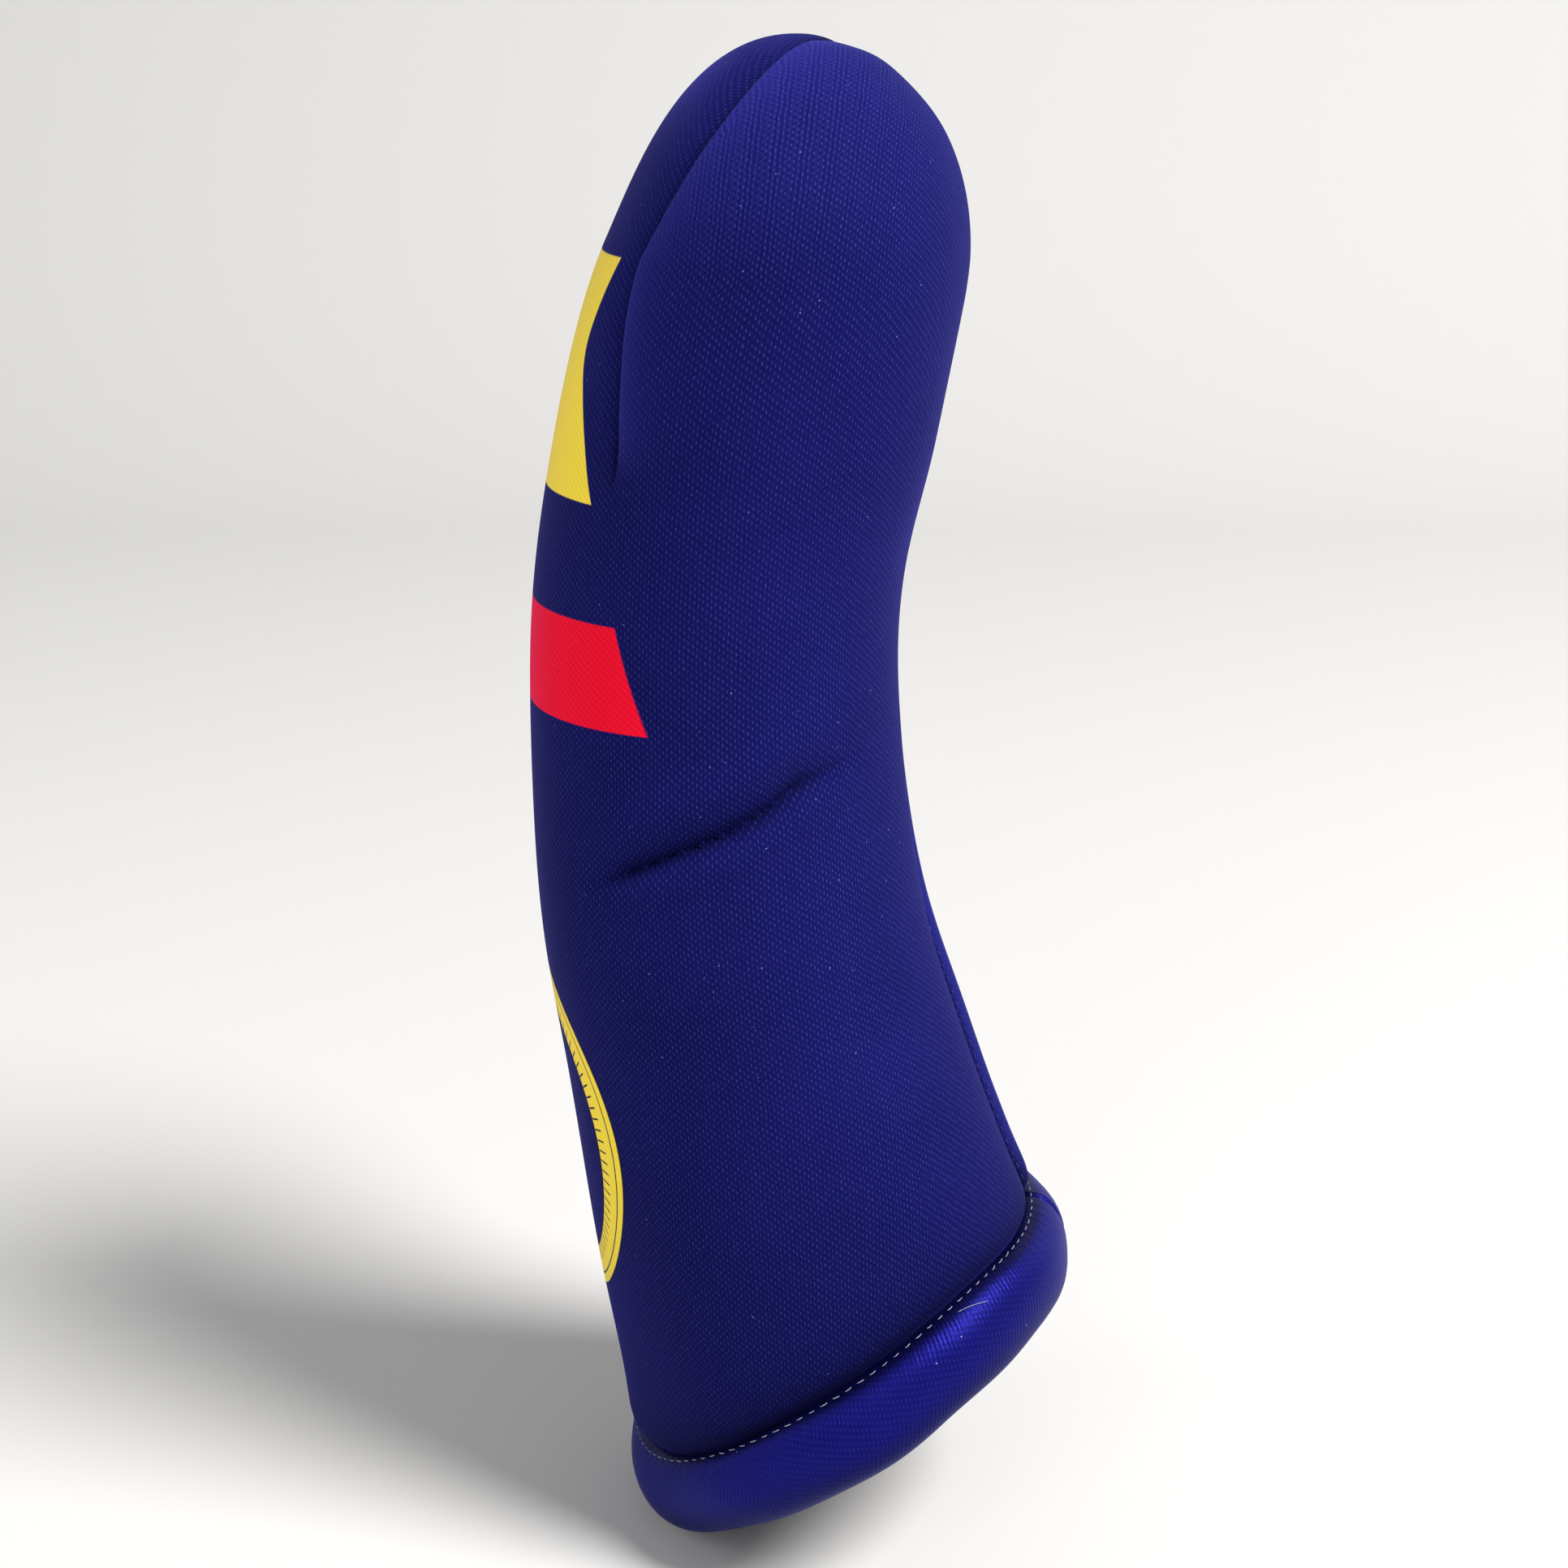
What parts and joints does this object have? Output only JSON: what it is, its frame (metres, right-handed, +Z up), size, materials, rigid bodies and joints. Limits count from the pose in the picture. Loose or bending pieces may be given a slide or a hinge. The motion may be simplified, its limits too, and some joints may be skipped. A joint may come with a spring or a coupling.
{
  "type": "golf club head cover",
  "caption": "Soft padded golf club head cover: a bent knit-and-foam tube with a rounded head pocket, a narrow waist, a flared skirt and a thick rolled hem round its slanted mouth.",
  "frame": {"origin": "centre of the mouth, in the slanted plane of the roll's lowest edge", "axes": "+Z up the cover towards the head pocket; -Y the printed front, where the mouth is lowest; +Y the back, with the long seam; X from side to side, with the part symmetric about X = 0"},
  "size_m": [0.1114, 0.11, 0.3086],
  "materials": {
    "printed_knit": "matte",
    "band_knit": "satin",
    "lining_knit": "matte",
    "foam": "matte",
    "hem_thread": "satin",
    "seam_thread": "satin"
  },
  "bodies": {
    "root": {"body_face_knit": "printed_knit", "body_foam": "foam", "body_lining": "lining_knit", "hem_band_face_knit": "band_knit", "hem_band_foam": "foam", "hem_seam_thread": "hem_thread", "back_seam_thread": "seam_thread", "dart_seam_thread_left": "seam_thread", "dart_seam_thread_right": "seam_thread", "hem_band_end_seam_thread": "seam_thread"}
  },
  "joints": []
}
